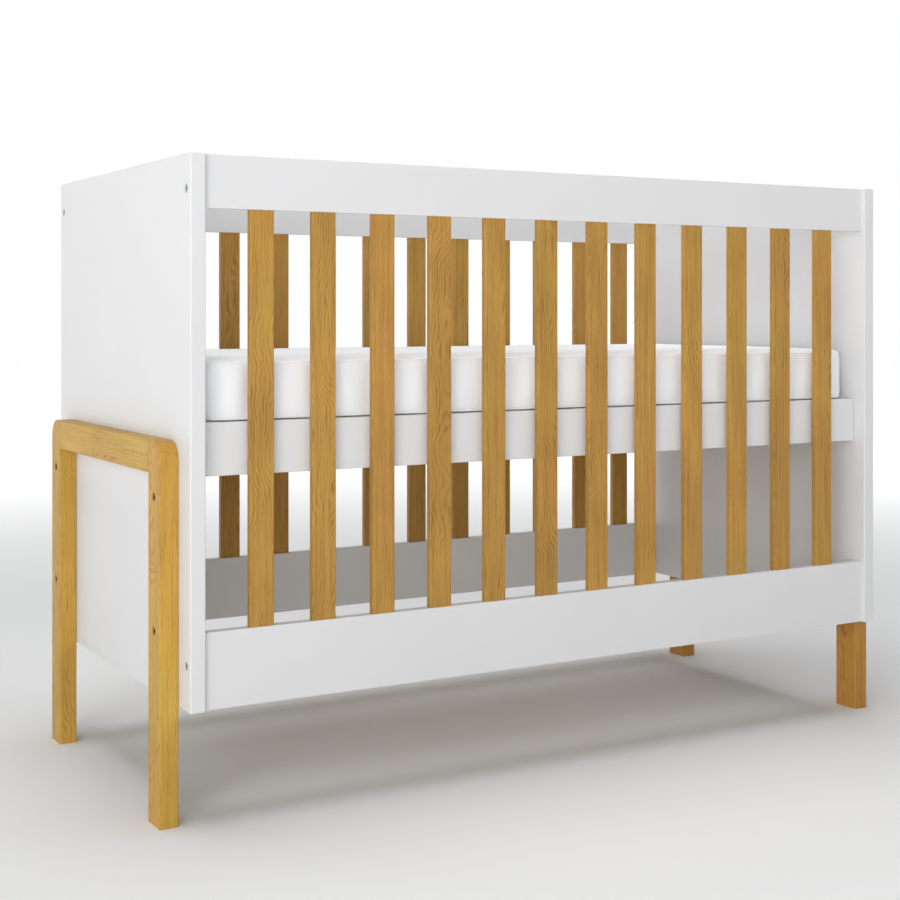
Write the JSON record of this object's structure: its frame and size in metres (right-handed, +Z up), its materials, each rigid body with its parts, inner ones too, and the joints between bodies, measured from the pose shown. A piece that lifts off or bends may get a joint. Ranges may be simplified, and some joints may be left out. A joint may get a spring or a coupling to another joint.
{
  "type": "baby crib",
  "caption": "Baby crib with white end panels and rails, upright oak slats, U-shaped oak leg frames, a height-adjustable base and a mattress.",
  "frame": {"origin": "on the floor, under the middle of the crib", "axes": "+X along the crib, +Z up; the front long side is at -Y"},
  "size_m": [1.428, 0.672, 1],
  "materials": {
    "white_lacquer": "satin",
    "honey_oak": "satin",
    "pale_pine": "matte",
    "beech_dowel": "matte",
    "zinc_steel": "satin",
    "mattress_cover": "matte"
  },
  "bodies": {
    "frame": {"end_panel_left": "white_lacquer", "end_panel_right": "white_lacquer", "front_top_rail": "white_lacquer", "front_bottom_rail": "white_lacquer", "back_top_rail": "white_lacquer", "back_bottom_rail": "white_lacquer", "leg_front_left": "honey_oak", "leg_back_left": "honey_oak", "leg_front_right": "honey_oak", "leg_back_right": "honey_oak", "crossbar_left": "honey_oak", "crossbar_right": "honey_oak", "front_slat_01": "honey_oak", "front_slat_02": "honey_oak", "front_slat_03": "honey_oak", "front_slat_04": "honey_oak", "front_slat_05": "honey_oak", "front_slat_06": "honey_oak", "front_slat_07": "honey_oak", "front_slat_08": "honey_oak", "front_slat_09": "honey_oak", "front_slat_10": "honey_oak", "front_slat_11": "honey_oak", "front_slat_12": "honey_oak", "back_slat_01": "honey_oak", "back_slat_02": "honey_oak", "back_slat_03": "honey_oak", "back_slat_04": "honey_oak", "back_slat_05": "honey_oak", "back_slat_06": "honey_oak", "back_slat_07": "honey_oak", "back_slat_08": "honey_oak", "back_slat_09": "honey_oak", "back_slat_10": "honey_oak", "back_slat_11": "honey_oak", "back_slat_12": "honey_oak", "rail_dowels": "beech_dowel", "leg_frame_dowels": "beech_dowel", "rail_bolts": "zinc_steel", "barrel_nuts": "zinc_steel", "leg_bolts": "zinc_steel", "threaded_inserts": "zinc_steel"},
    "base": {"base_side_rail_front": "white_lacquer", "base_side_rail_back": "white_lacquer", "base_end_rail_left": "white_lacquer", "base_end_rail_right": "white_lacquer", "base_ledger_front": "pale_pine", "base_ledger_back": "pale_pine", "base_slat_1": "pale_pine", "base_slat_2": "pale_pine", "base_slat_3": "pale_pine", "base_slat_4": "pale_pine", "base_slat_5": "pale_pine", "base_slat_6": "pale_pine", "base_slat_7": "pale_pine", "base_dowels": "beech_dowel", "base_slat_screws": "zinc_steel", "base_bolts": "zinc_steel"},
    "mattress": {"mattress": "mattress_cover"}
  },
  "joints": [
    {"name": "base_height", "type": "slide", "parent": "frame", "child": "base", "axis": [0, 0, 1], "range_m": [-0.2, 0]},
    {"name": "mattress_lift", "type": "slide", "parent": "base", "child": "mattress", "axis": [0, 0, 1], "range_m": [0, 0.45]}
  ]
}
